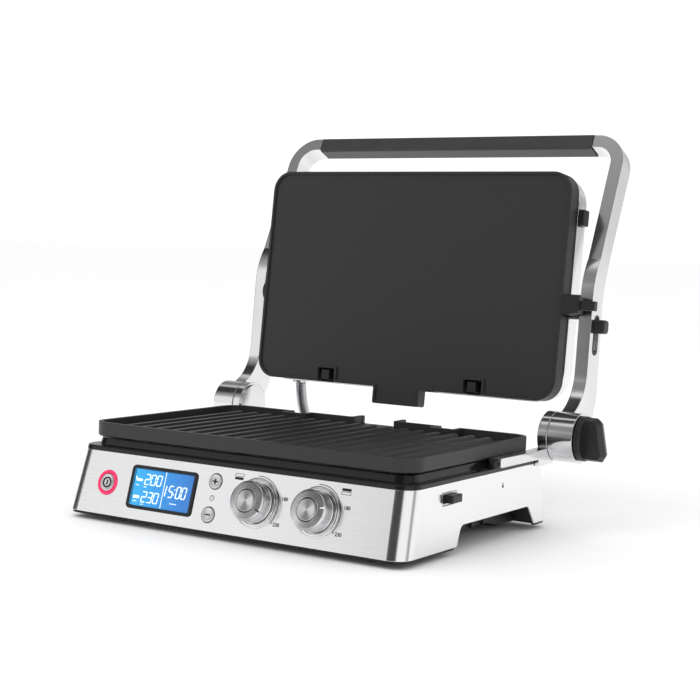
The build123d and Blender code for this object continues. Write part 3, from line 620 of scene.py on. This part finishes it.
# ---- operators
class GRILL_OT_stage(bpy.types.Operator):
    """Set the pale floor, the soft lights and the camera"""

    bl_idname = "grill.stage"
    bl_label = "Stage"

    FLOOR_HALF = 60
    EVEN_LIGHT = 1.12
    # Direction round the grill in degrees, nought in front and growing to the right, and its brightness.
    ROUND = [
        (-180, 0.6), (-125, 0.6), (-100, 1.0), (-92, 0.05), (-58, 0.05), (-50, 0.85), (-37, 1.0), (-30, 0.72),
        (-23, 0.04), (26, 0.04), (31, 1.0), (85, 1.0), (92, 0.35), (104, 0.35), (112, 1.0), (148, 1.0),
        (154, 0.8), (180, 0.6),
    ]
    # Sine of the height above the horizon and its brightness.
    UPWARD = [(0.0, 1.0), (0.40, 1.0), (0.50, 0.50), (0.66, 0.30), (0.74, 0.40), (0.82, 1.0), (1.0, 1.0)]
    # Each lamp's size and place in metres, and the spot that both look at.
    LAMPS = {"key": (1.6, (-0.9, -1.2, 1.9)), "side": (1.1, (-1.7, 0.6, 0.9))}
    LAMP_TARGET = Vector((0, 0, 0.12))
    # The camera's place in metres, and its azimuth, pitch and roll in degrees.
    CAMERA_AT = (0.6565, -0.95586, 0.2144)
    CAMERA_TURNS = (33.091, 3.927, 1.799)
    LENS, SENSOR, NEAR_CLIP = 77.07, 36.0, 0.05

    def execute(self, context):
        scene = context.scene
        scene.view_settings.view_transform = "Standard"
        self.lay_floor(scene)
        self.hang_world(scene)
        self.hang_lights(scene)
        self.place_camera(scene)
        return {"FINISHED"}

    def lay_floor(self, scene):
        floor = bmesh.new()
        bmesh.ops.create_grid(floor, x_segments=1, y_segments=1, size=self.FLOOR_HALF)
        mesh = bpy.data.meshes.new("floor")
        floor.to_mesh(mesh)
        floor.free()
        ground = bpy.data.objects.new("floor", mesh)
        scene.collection.objects.link(ground)
        paper, shader = start_finish("studio_paper", roughness=0.9)
        fibre = patterned(paper, 40, 4)
        tinted(paper, shader, fibre, (0.90, 0.90, 0.90), (0.94, 0.94, 0.94))
        mesh.materials.append(paper)

    def hang_world(self, scene):
        """Even light for matt surfaces; bright metal mirrors black flags and a dim ceiling."""
        world = bpy.data.worlds.new("studio")
        world.use_nodes = True
        even = world.node_tree.nodes["Background"]
        even.inputs["Color"].default_value = (1.0, 1.0, 1.0, 1)
        even.inputs["Strength"].default_value = self.EVEN_LIGHT
        toward = add_node(world, "ShaderNodeTexCoord").outputs["Generated"]
        x, y, z = add_node(world, "ShaderNodeSeparateXYZ", Vector=toward).outputs
        front = add_node(world, "ShaderNodeMath", operation="MULTIPLY", i0=y, i1=-1.0).outputs[0]
        angle = add_node(world, "ShaderNodeMath", operation="ARCTAN2", i0=x, i1=front).outputs[0]
        share = ranged(world, angle, 0, 1, -math.pi, math.pi)
        flags = banded(world, share, [(turn / 360 + 0.5, grey) for turn, grey in self.ROUND])
        ceiling = banded(world, z, self.UPWARD)
        both = add_node(world, "ShaderNodeMath", operation="MULTIPLY", i0=flags, i1=ceiling).outputs[0]
        mirrored = add_node(world, "ShaderNodeBackground", Color=both)
        glossy = add_node(world, "ShaderNodeLightPath").outputs["Is Glossy Ray"]
        mixed = add_node(
            world, "ShaderNodeMixShader", Fac=glossy,
            i1=even.outputs["Background"], i2=mirrored.outputs["Background"])
        link(world, mixed.outputs["Shader"], world.node_tree.nodes["World Output"].inputs["Surface"])
        scene.world = world

    def hang_lights(self, scene):
        for name, (spread, place) in self.LAMPS.items():
            lamp = bpy.data.lights.new(name, "AREA")
            lamp.energy = getattr(sizes(), f"{name}_light")
            lamp.size = spread
            item = bpy.data.objects.new(name, lamp)
            item.location = place
            item.rotation_euler = (self.LAMP_TARGET - Vector(place)).to_track_quat("-Z", "Y").to_euler()
            item.visible_glossy = False
            scene.collection.objects.link(item)

    def place_camera(self, scene):
        azimuth, pitch, roll = (math.radians(angle) for angle in self.CAMERA_TURNS)
        level = math.cos(pitch)
        ahead = Vector((-math.sin(azimuth) * level, math.cos(azimuth) * level, -math.sin(pitch)))
        right = Vector((math.cos(azimuth), math.sin(azimuth), 0))
        up = right.cross(ahead)
        across = math.cos(roll) * right + math.sin(roll) * up
        upward = math.cos(roll) * up - math.sin(roll) * right
        lens = bpy.data.cameras.new("camera")
        lens.lens = self.LENS
        lens.sensor_width = self.SENSOR
        lens.clip_start = self.NEAR_CLIP
        camera = bpy.data.objects.new("camera", lens)
        turn = Matrix((across, upward, -ahead)).transposed().to_4x4()
        camera.matrix_world = Matrix.Translation(self.CAMERA_AT) @ turn
        scene.collection.objects.link(camera)
        scene.camera = camera


class GRILL_OT_casing(bpy.types.Operator):
    """Finish the skirt, the deck, the base pan, the rear panel and the feet"""

    bl_idname = "grill.casing"
    bl_label = "Casing"

    def execute(self, context):
        dress({
            "brushed_steel": ("steel_skirt",),
            "gloss_plastic": ("top_deck",),
            "matt_plastic": ("base_pan", "rear_panel", "cord_gland"),
            "soft_black": ("drip_tray", "lower_release"),
            "rubber": ("feet",),
            "silver_key": ("release_guide",),
        })
        return {"FINISHED"}


class GRILL_OT_insides(bpy.types.Operator):
    """Finish the heaters, reflectors, probes and boards inside"""

    bl_idname = "grill.insides"
    bl_label = "Insides"

    def execute(self, context):
        dress({
            "rolled_reflector": ("lower_reflector", "upper_reflector"),
            "oxidised_sheath": ("lower_heater", "upper_heater"),
            "cast_satin": ("lower_probe", "upper_probe"),
            "circuit_board": ("control_board", "power_board"),
            "dark_link": ("button_switches", "dial_encoders"),
        })
        return {"FINISHED"}


class GRILL_OT_display(bpy.types.Operator):
    """Model the lit display with its segment digits"""

    bl_idname = "grill.display"
    bl_label = "Display"

    # The backs and the fronts of the lit shapes behind the panel's face, and the fronts of the thin lines.
    LOW, HIGH, LINE_HIGH = -0.78, -0.70, -0.72
    # A digit's stroke as a share of its height, the gap at a stroke's end, and the digits' slant.
    STROKE, GAP, SLANT = 0.105, 0.09, 0.10
    SEGMENTS = {"0": "abcdef", "1": "bc", "2": "abged", "3": "abgcd", "5": "afgcd"}
    # The width and height of a digit, and the pitch from one to the next.
    HEAT, TIMER = ((4.1, 7.6), 5.7), ((3.7, 8.4), 5.2)
    # Each number, its lower left corner and its kind of digit.
    NUMBERS = [
        ("200", (-18.2, 2.6), HEAT),
        ("230", (-18.6, -10.6), HEAT),
        ("1", (-0.7, -4.4), TIMER),
        ("5", (6.1, -4.4), TIMER),
        ("00", (13.2, -4.4), TIMER),
    ]
    COLON_X, COLON_HEIGHTS, COLON_SIZE = 11.6, (-1.9, 1.7), 0.95
    DIVIDER, DIVIDER_WIDTH = ((1.1, -13.6), (1.1, 13.6)), 0.55
    OPEN_LID = [(-26.2, 4.6), (-20.6, 4.6), (-20.6, 6.4), (-25.6, 6.4), (-26.8, 8.2), (-27.4, 7.6)]
    CLOSED_PLATE_AT, CLOSED_PLATE = (-23.6, -7.4), (6.0, 2.2)
    # The middle and the length of each thin line that stands for a word.
    LINES = [
        (-24.6, 1.4, 3.4), (-17.0, 0.6, 2.6), (-24.4, -10.6, 3.6), (-17.0, -12.5, 2.6), (12.4, -9.0, 6.4),
    ]
    LINE_WIDTH = 0.5

    def digit(self, shape, mark, at, size, place):
        """One seven-segment digit with its lower left corner at a point."""
        width, height = size
        gap, half = self.GAP, self.STROKE * height / 2

        def leaned(x, y):
            return (at[0] + x + self.SLANT * y, at[1] + y)

        corners = {
            "a": ((0, height), (width, height)), "g": ((0, height / 2), (width, height / 2)),
            "d": ((0, 0), (width, 0)), "f": ((0, height / 2), (0, height)),
            "b": ((width, height / 2), (width, height)), "e": ((0, 0), (0, height / 2)),
            "c": ((width, 0), (width, height / 2)),
        }
        for name in self.SEGMENTS[mark]:
            (x0, y0), (x1, y1) = corners[name]
            if y0 == y1:
                points = [(x0 + gap, y0), (x0 + gap + half, y0 - half), (x1 - gap - half, y0 - half),
                          (x1 - gap, y0), (x1 - gap - half, y0 + half), (x0 + gap + half, y0 + half)]
            else:
                points = [(x0, y0 + gap), (x0 + half, y0 + gap + half), (x0 + half, y1 - gap - half),
                          (x0, y1 - gap), (x0 - half, y1 - gap - half), (x0 - half, y0 + gap + half)]
            prism([leaned(x, y) for x, y in points], place, self.LOW, self.HIGH, shape)

    def execute(self, context):
        dress({
            "gloss_plastic": ("display_bezel",),
            "clear_lens": ("display_lens",),
            "lit_display": ("display_module",),
        })
        place = shifted(PANEL, *DISPLAY_AT)
        shape = bmesh.new()
        for text, (x, y), (size, pitch) in self.NUMBERS:
            for n, mark in enumerate(text):
                self.digit(shape, mark, (x + n * pitch, y), size, place)
        dots = [
            rounded_box(self.COLON_SIZE, self.COLON_SIZE, 0.3, 3, (self.COLON_X + self.SLANT * y, y))
            for y in self.COLON_HEIGHTS
        ]
        for outline in (
            *dots,
            bar(*self.DIVIDER, self.DIVIDER_WIDTH),
            self.OPEN_LID,
            rounded_box(*self.CLOSED_PLATE, 0.4, 3, self.CLOSED_PLATE_AT),
        ):
            prism(outline, place, self.LOW, self.HIGH, shape)
        for x, y, length in self.LINES:
            stroke = bar((x - length / 2, y), (x + length / 2, y), self.LINE_WIDTH)
            prism(stroke, place, self.LOW, self.LINE_HIGH, shape)
        add_piece("display_digits", shape, finish("white_segment"), "base")
        return {"FINISHED"}


class GRILL_OT_buttons(bpy.types.Operator):
    """Model the power button with its lit ring and the two small keys"""

    bl_idname = "grill.buttons"
    bl_label = "Buttons"

    # Profiles, as a radius and a height over the panel.
    LIT_RING = [
        (7.2, -2.7), (10.0, -2.7), (10.0, -1.5), (9.4, -1.5), (9.4, 0.3), (9.1, 0.7), (8.4, 0.8), (7.6, 0.7),
        (7.2, 0.3),
    ]
    POWER_CAP = [
        (0, -8.9), (1.8, -8.9), (1.8, -2.4), (6.8, -2.4), (6.8, 0.3), (6.5, 0.8), (6.0, 1.0), (5.2, 0.85),
        (2.5, 0.62), (0, 0.55),
    ]
    KEY_CAP = [
        (0, -8.9), (1.8, -8.9), (1.8, -3.0), (6.6, -3.0), (6.6, -1.7), (5.5, -1.7), (5.5, 0.4), (5.25, 0.85),
        (4.7, 1.0), (4.1, 0.85), (2.0, 0.62), (0, 0.58),
    ]
    KEY_RIM = [(5.55, 0.02), (6.15, 0.02), (6.15, 0.07), (5.55, 0.07)]
    # The power sign's radius, the width of its strokes and the length of its upright one.
    SIGN_RADIUS, SIGN_STROKE, SIGN_UPRIGHT = 3.6, 1.25, 4.0
    ACROSS, UPRIGHT = ((-2.2, 0), (2.2, 0)), ((0, -2.2), (0, 2.2))
    KEYS = [("plus", PLUS_AT, (ACROSS, UPRIGHT)), ("minus", MINUS_AT, (ACROSS,))]
    KEY_STROKE = 1.0

    def execute(self, context):
        self.power_button(shifted(PANEL, *POWER_AT))
        for name, centre, strokes in self.KEYS:
            self.small_key(name, shifted(PANEL, *centre), strokes)
        return {"FINISHED"}

    def power_button(self, place):
        ring = turned(self.LIT_RING, place, closed=True)
        add_piece("power_light", ring, finish("lit_ring"), "base", ("power_ring",))
        cap = turned(self.POWER_CAP, place)
        add_piece("power_cap", cap, finish("silver_key"), "power_button", ("power_button",))
        sign = prism(arc_band(self.SIGN_RADIUS, self.SIGN_STROKE, 0, FULL_TURN, 64), place, 0.5, 0.95)
        prism(rounded_box(self.SIGN_STROKE, self.SIGN_UPRIGHT, 0.5, 3), place, 0.5, 0.80, sign)
        add_piece("power_sign", sign, finish("print_ink"), "power_button")

    def small_key(self, name, place, strokes):
        body = f"{name}_button"
        cap = turned(self.KEY_CAP, place)
        add_piece(f"{name}_key", cap, finish("silver_key"), body, (body,))
        sign = bmesh.new()
        for n, stroke in enumerate(strokes):
            prism(bar(*stroke, self.KEY_STROKE), place, 0.45, 0.86 + 0.01 * n, sign)
        add_piece(f"{name}_sign", sign, finish("print_ink"), body)
        rim = turned(self.KEY_RIM, place, closed=True)
        add_piece(f"{name}_rim", rim, finish("print_ink"), "base")


class GRILL_OT_dials(bpy.types.Operator):
    """Turn the two dials with their centre caps, pointers and rings"""

    bl_idname = "grill.dials"
    bl_label = "Dials"

    # Profiles, as a radius and a height over the panel.
    BEZEL = [
        (15.2, 0), (15.2, 1.1), (15.5, 1.5), (16.1, 1.6), (16.6, 1.45), (16.9, 1.0), (17.2, 0.95),
        (17.6, 1.3), (18.05, 1.15), (18.35, 0.7), (18.4, 0),
    ]
    KNOB = [
        (0, 5), (8.5, 5), (8.5, 12.9), (8.75, 13.15), (9.1, 13.18), (12.9, 12.66), (13.3, 12.53),
        (14.0, 12.1), (14.4, 11.5), (14.6, 10.8), (14.6, 3.0), (14.45, 2.6), (14.1, 2.4), (14.1, 2.0),
        (14.6, 1.6), (14.6, 1.0), (14.4, 0.8), (3, 0.8), (3, -11.5), (0, -11.5),
    ]
    KNOB_STEPS = 128
    CAP = [
        (0, 7.2), (8.1, 7.2), (8.1, 12.95), (7.85, 13.4), (7.3, 13.68), (6.9, 13.72), (6.7, 13.6),
        (3.0, 13.5), (0, 13.48),
    ]
    CAP_TONE = (0.80, 0.80, 0.81)
    # Faces that look along the axis at least this much are turned, and the others are drawn.
    FACE_ON = 0.35
    # Edges that turn by more degrees than this stay sharp.
    SHARP = 9.0
    # Where each pointer stands in degrees, and its finish.
    POINTERS = {"left": (-28.0, "print_ink"), "right": (12.0, "pale_mark")}
    POINTER_ENDS, POINTER_WIDTH = ((9.4, 0), (13.0, 0)), 0.95
    POINTER_LEAN, POINTER_LEVELS = 0.115, (13.65, 14.35)

    def execute(self, context):
        rings = bmesh.new()
        for side in self.POINTERS:
            place = shifted(PANEL, DIALS[side], DIAL_V)
            turned(self.BEZEL, place, shape=rings, closed=True)
            self.knob(side, place)
            self.centre_cap(side, place)
            self.pointer(side, place)
        add_piece("dial_bezels", rings, finish("polished_metal"), "base", ("dial_rings",))
        return {"FINISHED"}

    def knob(self, side, place):
        body = f"{side}_dial"
        knob = turned(self.KNOB, place, steps=self.KNOB_STEPS)
        axis = place.to_3x3().col[2].normalized()
        knob.normal_update()
        bmesh.ops.recalc_face_normals(knob, faces=knob.faces)
        for face in knob.faces:
            face.material_index = 0 if abs(face.normal.dot(axis)) > self.FACE_ON else 1
        metals = [turned_metal(f"{body}_face", place, 11.0), drawn_metal(f"{body}_side", place)]
        add_piece(f"{body}_knob", knob, metals, body, (body,), crease=self.SHARP)

    def centre_cap(self, side, place):
        body = f"{side}_sear"
        cap = turned(self.CAP, place)
        metal = turned_metal(f"{side}_cap_face", place, 6.0, self.CAP_TONE, 0.30, 0.05)
        add_piece(f"{body}_cap", cap, metal, body, (body,), crease=self.SHARP)

    def pointer(self, side, place):
        angle, ink = self.POINTERS[side]
        turn = place @ Matrix.Rotation(math.radians(angle), 4, "Z")
        leaned = turn @ Matrix.Rotation(self.POINTER_LEAN, 4, "Y")
        mark = prism(bar(*self.POINTER_ENDS, self.POINTER_WIDTH), leaned, *self.POINTER_LEVELS)
        add_piece(f"{side}_pointer", mark, finish(ink), f"{side}_dial")


class GRILL_OT_prints(bpy.types.Operator):
    """Print the dial scales, numbers and small signs on the front and side"""

    bl_idname = "grill.prints"
    bl_label = "Prints"

    # The ink's faces below and over the sheet, and the little that crossing strokes differ by.
    LOW, HIGH, OVERLAP = -0.02, 0.07, 0.01
    SCALE_RADIUS, SCALE_SWEEP = 19.6, (96, -38)
    MARK_SWEEP, MARK_WIDTH = (16.4, 19.2), 1.3
    TICK = ((15.4, -12.1), (17.3, -12.6))
    # The numbers on each scale, and how tall they are.
    NUMBERS, NUMBER_HEIGHT = [("230", 17.9, -14.2), ("180", 21.2, 4.6)], 2.6
    # The plate signs: their centres, and which of the two plates is solid.
    PLATE_SIGNS = [((6.9, 42.4), -1), ((99.4, 42.2), 1)]
    PLATE_SIGN, PLATE_OFFSET, PLATE_LINE = (7.6, 1.9), 1.25, 0.35
    CLOCK_AT, CLOCK_RADIUS = (-14.0, 24.3), 1.9
    CLOCK_HANDS = [((0, -0.15), (0, 1.25)), ((-0.15, 0), (0.95, 0))]
    PADLOCK_AT, SIDE_OUT = (150.9, 34.0, 40.6), (1, 0, 0.061)

    def execute(self, context):
        ink = bmesh.new()
        for side in DIALS:
            self.print_scale(ink, shifted(PANEL, DIALS[side], DIAL_V))
        for centre, solid in self.PLATE_SIGNS:
            self.print_plates(ink, shifted(PANEL, *centre), solid)
        clock = shifted(PANEL, *self.CLOCK_AT)
        prism(arc_band(self.CLOCK_RADIUS, 0.4, 0, FULL_TURN, 40), clock, self.LOW, self.HIGH, ink)
        for n, hand in enumerate(self.CLOCK_HANDS):
            prism(bar(*hand, 0.35), clock, self.LOW, self.HIGH + n * self.OVERLAP, ink)
        add_piece("front_print", ink, finish("print_ink"), "base")
        side = placing(self.PADLOCK_AT, self.SIDE_OUT, Vector((0, 1, 0)))
        lock = prism(rounded_box(2.3, 2.4, 0.4, 3), side, self.LOW, self.HIGH)
        prism(arc_band(0.75, 0.45, 0, 180, 16, (0.35, 1.5)), side, self.LOW, self.HIGH, lock)
        add_piece("side_print", lock, finish("print_ink"), "base")
        return {"FINISHED"}

    def print_scale(self, ink, place):
        line, over = sizes().print_line, self.HIGH + self.OVERLAP
        prism(arc_band(self.SCALE_RADIUS, line, *self.SCALE_SWEEP), place, self.LOW, self.HIGH, ink)
        prism(arc_band(self.SCALE_RADIUS, self.MARK_WIDTH, *self.MARK_SWEEP, 6), place, self.LOW, over, ink)
        prism(bar(*self.TICK, line), place, self.LOW, over, ink)
        for text, x, y in self.NUMBERS:
            lettering(text, self.NUMBER_HEIGHT, shifted(place, x, y), self.LOW, self.HIGH, ink)

    def print_plates(self, ink, place, solid):
        """Two stacked plates, one solid and one in outline."""
        x, y = (size / 2 for size in self.PLATE_SIGN)
        corners = [(-x, -y), (x, -y), (x, y), (-x, y)]
        for level in (-1, 1):
            rise = level * self.PLATE_OFFSET
            if level == solid:
                prism(rounded_box(*self.PLATE_SIGN, 0.5, 4, (0, rise)), place, self.LOW, self.HIGH, ink)
                continue
            raised = [(across, up + rise) for across, up in corners]
            for start, end in zip(raised, raised[1:] + raised[:1]):
                prism(bar(start, end, self.PLATE_LINE), place, self.LOW, self.HIGH, ink)


class GRILL_OT_plates(bpy.types.Operator):
    """Coat both cooking plates and finish their clips"""

    bl_idname = "grill.plates"
    bl_label = "Cooking plates"

    def execute(self, context):
        dress({
            "plate_coating": ("lower_plate", "upper_plate"),
            "soft_black": ("lower_plate_clips", "upper_plate_clips"),
        })
        return {"FINISHED"}


class GRILL_OT_hinges(bpy.types.Operator):
    """Finish the brackets, hubs, arms, handle and the catches on them"""

    bl_idname = "grill.hinges"
    bl_label = "Hinges and arms"

    # The lock slot's middle on the right arm, its lean in degrees, and the rim's outlines and levels.
    SLOT_AT, SLOT_LEAN = (167.0, 154.6, 150.0), 5.0
    RIM_OUTER, RIM_INNER, RIM_LEVELS = (9.4, 32.5, 4.6, 8), (5.5, 28.2, 2.7, 8), (-0.02, 0.24)

    def execute(self, context):
        dress({
            "cast_satin": ("right_bracket", "left_bracket", "right_arm", "left_arm", "hub_caps"),
            "silver_key": ("left_hub_plug",),
            "zinc_screw": ("hinge_pins", "pivot_pins", "bracket_screws", "handle_core", "lid_screws"),
            "soft_black": (
                "bracket_tips", "hub_knob", "lock_slider", "height_stop", "left_pivot_boss", "upper_release"),
            "grip_plastic": ("handle_grip",),
        })
        lean = math.radians(self.SLOT_LEAN)
        slot = placing(self.SLOT_AT, RIGHT, Vector((0, math.cos(lean), -math.sin(lean))))
        rim = frame_ring(rounded_box(*self.RIM_OUTER), rounded_box(*self.RIM_INNER), slot, *self.RIM_LEVELS)
        add_piece("slot_rim", rim, finish("soft_black"), "arms")
        return {"FINISHED"}


class GRILL_OT_lid(bpy.types.Operator):
    """Finish the lid's cover and frame, and both glands of the hose"""

    bl_idname = "grill.lid"
    bl_label = "Lid"

    def execute(self, context):
        dress({
            "brushed_steel": ("lid_cover",),
            "matt_plastic": ("lid_frame",),
            "polished_metal": ("lid_gland", "conduit_gland"),
        })
        return {"FINISHED"}


class GRILL_OT_hose(bpy.types.Operator):
    """Wind the ribbed hose that carries the lid's wires"""

    bl_idname = "grill.hose"
    bl_label = "Wire hose"

    ROUTE = [
        (-114, 147.07, 92.85), (-113.5, 147.37, 77), (-104, 144, 57), (-92, 131, 39.5), (-92, 107.5, 39.5),
    ]
    # The radii that make up one rib, the faces round the hose, and the steps of its smooth line.
    RIB, SIDES, STEPS = (4.4, 4.8, 5.0, 4.8), 28, 40

    def centreline(self):
        """Points along the hose's smooth line, in millimetres."""
        curve = bpy.data.curves.new("hose_line", "CURVE")
        curve.dimensions = "3D"
        curve.resolution_u = self.STEPS
        spline = curve.splines.new("NURBS")
        spline.points.add(len(self.ROUTE) - 1)
        for point, spot in zip(spline.points, self.ROUTE):
            point.co = (*spot, 1)
        spline.order_u = 3
        spline.use_endpoint_u = True
        holder = bpy.data.objects.new("hose_line", curve)
        mesh = bpy.data.meshes.new_from_object(holder)
        points = [vert.co.copy() for vert in mesh.vertices]
        bpy.data.objects.remove(holder)
        bpy.data.curves.remove(curve)
        bpy.data.meshes.remove(mesh)
        return points

    def stations(self):
        """Evenly spaced places along the line, each with its direction and its radius."""
        points = self.centreline()
        lengths = [0.0]
        for a, b in zip(points, points[1:]):
            lengths.append(lengths[-1] + (b - a).length)
        count = int(lengths[-1] / (sizes().hose_pitch / len(self.RIB)))
        found = []
        for n in range(count + 1):
            along = lengths[-1] * n / count
            k = min(max(i for i, done in enumerate(lengths) if done <= along), len(points) - 2)
            share = (along - lengths[k]) / (lengths[k + 1] - lengths[k])
            spot = points[k].lerp(points[k + 1], share)
            found.append((spot, (points[k + 1] - points[k]).normalized(), self.RIB[n % len(self.RIB)]))
        return found

    def execute(self, context):
        stations = self.stations()
        half = len(stations) // 2
        for name, part, bodies in [
            ("hose_upper", stations[: half + 1], ("arms", "lid")),
            ("hose_lower", stations[half:], ("base", "arms")),
        ]:
            hose = self.sweep(part)
            piece = add_piece(name, hose, finish("hose_metal"), None, ("wire_conduit",))
            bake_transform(piece)
        return {"FINISHED"}

    def sweep(self, stations):
        """Rings of changing size along the line, bridged into one skin."""
        shape = bmesh.new()
        loops = []
        side = Vector((0, 1, 0)).cross(stations[0][1]).normalized()
        for spot, ahead, radius in stations:
            side = (side - ahead * side.dot(ahead)).normalized()
            other = ahead.cross(side)
            ring = bmesh.ops.create_circle(
                shape, segments=self.SIDES, radius=radius * MM, cap_ends=False)["verts"]
            turn = Matrix((side, other, ahead)).transposed().to_4x4()
            bmesh.ops.transform(shape, matrix=Matrix.Translation(spot * MM) @ turn, verts=ring)
            loops.append(list({edge for vert in ring for edge in vert.link_edges}))
        for a, b in zip(loops, loops[1:]):
            bmesh.ops.bridge_loops(shape, edges=a + b)
        bmesh.ops.holes_fill(shape, edges=shape.edges, sides=0)
        return shape


OPERATORS = (
    GRILL_OT_stage,
    GRILL_OT_casing,
    GRILL_OT_insides,
    GRILL_OT_display,
    GRILL_OT_buttons,
    GRILL_OT_dials,
    GRILL_OT_prints,
    GRILL_OT_plates,
    GRILL_OT_hinges,
    GRILL_OT_lid,
    GRILL_OT_hose,
)


class GRILL_PT_sidebar(bpy.types.Panel):
    """Lists the steps that dress the grill"""

    bl_idname = "GRILL_PT_sidebar"
    bl_label = "Contact Grill"
    bl_space_type = "VIEW_3D"
    bl_region_type = "UI"
    bl_category = "Grill"

    def draw(self, context):
        layout = self.layout
        for group in (context.scene.grill_looks, context.scene.grill_sizes):
            for name in group.__annotations__:
                layout.prop(group, name)
        for step in OPERATORS:
            layout.operator(step.bl_idname)


CLASSES = (GrillLooks, GrillSizes, *OPERATORS, GRILL_PT_sidebar)


def register():
    for item in CLASSES:
        bpy.utils.register_class(item)
    bpy.types.Scene.grill_looks = PointerProperty(type=GrillLooks)
    bpy.types.Scene.grill_sizes = PointerProperty(type=GrillSizes)


def unregister():
    del bpy.types.Scene.grill_looks
    del bpy.types.Scene.grill_sizes
    for item in reversed(CLASSES):
        bpy.utils.unregister_class(item)


def main():
    register()
    for step in OPERATORS:
        getattr(bpy.ops.grill, step.bl_idname.split(".")[1])()


if __name__ == "__main__":
    main()
